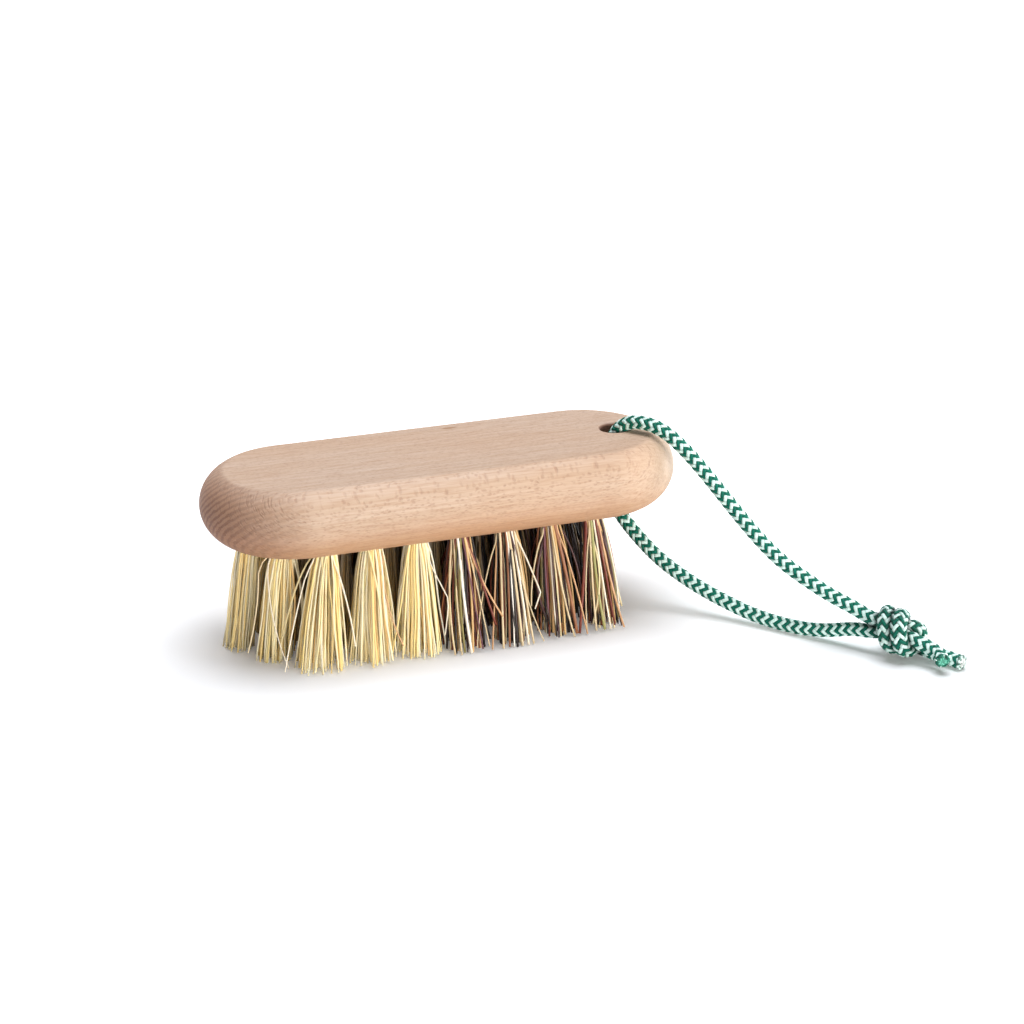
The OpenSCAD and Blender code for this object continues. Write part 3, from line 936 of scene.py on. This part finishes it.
def grown(style, p, away, rng):
    """Paths and radii of the fibres that fill one tuft, opening towards uneven cut tips."""
    count = style.count
    half_x, half_y, shift_x, shift_y = tip_spread(p, rng)
    root_r = TUFT_HOLE_D / 2 - 0.35
    # an even spiral of places, loosened a little and gathered in clumps towards the tips
    order = np.arange(count) + 0.5
    turn = order * math.radians(137.508) + rng.uniform(0, 6) + rng.normal(0, 0.15, count)
    reach = np.sqrt(order / count) * rng.uniform(0.93, 1.0, count)
    around = np.stack([np.cos(turn), np.sin(turn)], 1) * reach[:, None]
    root = np.array(p) + around * root_r
    clumps = rng.uniform(-0.85, 0.85, (9, 2))
    near = np.argmin(np.linalg.norm(around[:, None] - clumps[None], axis=2), 1)
    gathered = around + (clumps[near] - around) * rng.uniform(0.0, 0.35, (count, 1))
    spread = gathered * (half_x, half_y) * rng.uniform(0.9, 1.06, (count, 1))
    tip = np.array(p) + away + (shift_x, shift_y) + spread + rng.normal(0, 0.3, (count, 2))
    height = np.abs(rng.normal(0, 0.55, count)) + 0.05
    stray = rng.uniform(0, 1, count) < style.stray
    tip[stray] += rng.normal(0, style.throw, (stray.sum(), 2))
    height[stray] += rng.uniform(0, 4, stray.sum())
    radius = rng.uniform(*style.radius, count)

    bow = rng.normal(0, style.bow, (count, 2))
    bow[stray] *= 3
    wave = rng.normal(0, 0.12, (count, 2))
    flat = (
        root[:, None] + (tip - root)[:, None] * (ALONG ** 0.78)[None, :, None]
        + bow[:, None] * np.sin(np.pi * ALONG)[None, :, None]
        + wave[:, None] * np.sin(2.6 * np.pi * ALONG)[None, :, None]
    )
    z = BRISTLE_L + (height - BRISTLE_L)[:, None] * ALONG
    path = np.concatenate([flat, z[..., None]], 2)
    inside = root - away * (ROOT_DEPTH / BRISTLE_L)
    inside = np.concatenate([inside, np.full((count, 1), BRISTLE_L + ROOT_DEPTH)], 1)
    return np.concatenate([inside[:, None], path], 1), radius


def tuft(kind, number, p, away, material):
    """One tuft: the fibres that fill it, and those that stand out in front of it."""
    rng = np.random.default_rng(1000 * (kind == "dark") + number)
    light = kind == "light"
    style = LIGHT if light else DARK
    path, radius = grown(style, p, away, rng)
    weight = np.array([w for _, w in style.shades], float)
    chosen = rng.choice(len(style.shades), style.count, p=weight / weight.sum())
    own = np.array([c for c, _ in style.shades])[chosen]
    own[:, :3] *= rng.uniform(0.93, 1.05, (style.count, 1))
    heights = BRISTLE_L * (1 - np.append(-TRACED_DEPTH, ALONG))
    bold, bold_radius, bold_own = bold_paths(f"{kind}_{number}", p, heights)
    path = np.concatenate([path, bold])
    radius = np.append(radius, bold_radius)
    own = np.concatenate([own, np.reshape(bold_own, (-1, 4))])
    total = len(path)

    ahead = unit(np.gradient(path, axis=1))
    facing = np.arange(total) * 2.4
    lead = np.stack([np.cos(facing), np.sin(facing), np.zeros(total)], 1)[:, None]
    across = unit(np.cross(ahead, np.broadcast_to(lead, ahead.shape)))
    up = np.cross(ahead, across)
    wide = radius[:, None] * np.append(1.0, 1.0 - 0.15 * ALONG)
    thick = wide * rng.uniform(0.75, 1, (total, 1))
    verts, quads, caps, where = tubes(path, across, up, wide, thick, FIBRE_SIDES)
    fibre, ring, side = where.T
    shade = own[fibre]
    if abs(p[1]) < OUTER_Y - 0.1 and p[0] > END_PAIR_X + 0.1:
        # painted shade: fibres inside the brush are darker towards their roots, where the outer
        # tufts shade them
        along = np.clip((ring - 1) / (0.9 * STEPS), 0, 1)[:, None] ** 1.4
        shade[:, :3] *= ROOT_SHADE * (1 - along) + TIP_SHADE * along
    if not light:
        # some fibres end in a black tip
        black = (rng.uniform(0, 1, total) < 0.16)[fibre] & (ring >= STEPS - 1)
        shade[black] = BLACK
    shade = np.clip(shade, 0, 1)
    uv = np.stack([side * 2 / FIBRE_SIDES + 5.3 * fibre, ring * 3.1], 1)
    ob = mesh_object(f"fibres_{kind}_{number}", verts, quads, caps, material, shade, uv)
    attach(ob, "brush")
    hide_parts(f"{kind}_tuft_{number}")


pale, dark = plant_fibre("pale_fibre", 0.14), plant_fibre("dark_fibre", 0.5)
for kind, number, p, away in TUFTS:
    tuft(kind, number, p, away, pale if kind == "light" else dark)


def floor():
    """A white matt floor, lifted to pure white where it is seen away from the shadows."""
    g = Graph(bpy.data.materials.new("floor"))
    place = g.add("ShaderNodeTexCoord").outputs["Object"]
    grain = g.noise(g.moved(place, size=(9, 9, 9)), 1.0, 3.0)
    white = g.mix(grain, (0.98, 0.98, 0.98, 1), (0.96, 0.96, 0.96, 1))
    matt = g.add("ShaderNodeBsdfDiffuse", {"Color": white, "Roughness": 0.6})
    # it glows less near the brush, and least round the knot: painted darker pools where their
    # shadows lie
    lift = g.steps(g.distance(place, (-0.02, -0.03, 0)), 0.06, 0.18, 0.1, 0.5)
    knot_floor_shade = g.steps(g.distance(place, spot(0.09, 0, 0)), 0.01, 0.045, 0.05, 1.0)
    # and more far away, where the lamps don't reach
    lift = g.math("ADD", lift, g.steps(g.distance(place), 0.4, 2.0, 0.0, 0.7))
    strength = g.math("MULTIPLY", g.math("MULTIPLY", g.seen(), lift), knot_floor_shade)
    glow = g.add("ShaderNodeEmission", {"Color": (1, 1, 1, 1), "Strength": strength})
    both = g.add("ShaderNodeAddShader", {0: matt.outputs[0], 1: glow.outputs[0]})
    g.add("ShaderNodeOutputMaterial", {"Surface": both.outputs[0]})
    bm = bmesh.new()
    bmesh.ops.create_grid(bm, x_segments=8, y_segments=8, size=6)
    ob = from_bmesh("floor", bm)
    ob.data.materials.append(g.owner)


def world():
    """White where it is seen, and a dim even light on the object."""
    g = Graph(bpy.data.worlds.new("studio"))
    strength = g.add("ShaderNodeMapRange", {"Value": g.seen(), "To Min": 0.13, "To Max": 1.0})
    back = g.add(
        "ShaderNodeBackground", {"Color": (1, 1, 1, 1), "Strength": strength.outputs[0]}
    )
    g.add("ShaderNodeOutputWorld", {"Surface": back.outputs[0]})
    bpy.context.scene.world = g.owner


def lamp(name, place, aim, size, power, colour):
    """A rectangular lamp at place, turned towards aim."""
    data = bpy.data.lights.new(name, "AREA")
    data.shape = "RECTANGLE"
    data.size, data.size_y = size
    data.energy = power
    data.color = colour
    ob = add_object(name, data)
    ob.location = place
    ob.rotation_euler = (Vector(aim) - Vector(place)).to_track_quat("-Z", "Y").to_euler()


floor()
world()
MIDDLE = (0.01, -0.01, 0.03)
lamp("key", (0.42, -0.88, 0.07), MIDDLE, (1.2, 0.1), 10.7, (0.985, 0.975, 0.925))
lamp("top", (0.15, 0.22, 1.55), MIDDLE, (1.3, 1.1), 31.5, (0.91, 0.94, 1.0))
lamp("side", (0.90, -0.05, 0.09), MIDDLE, (0.4, 0.12), 4.2, (0.96, 0.98, 1.0))

bpy.context.scene.view_settings.view_transform = "Standard"
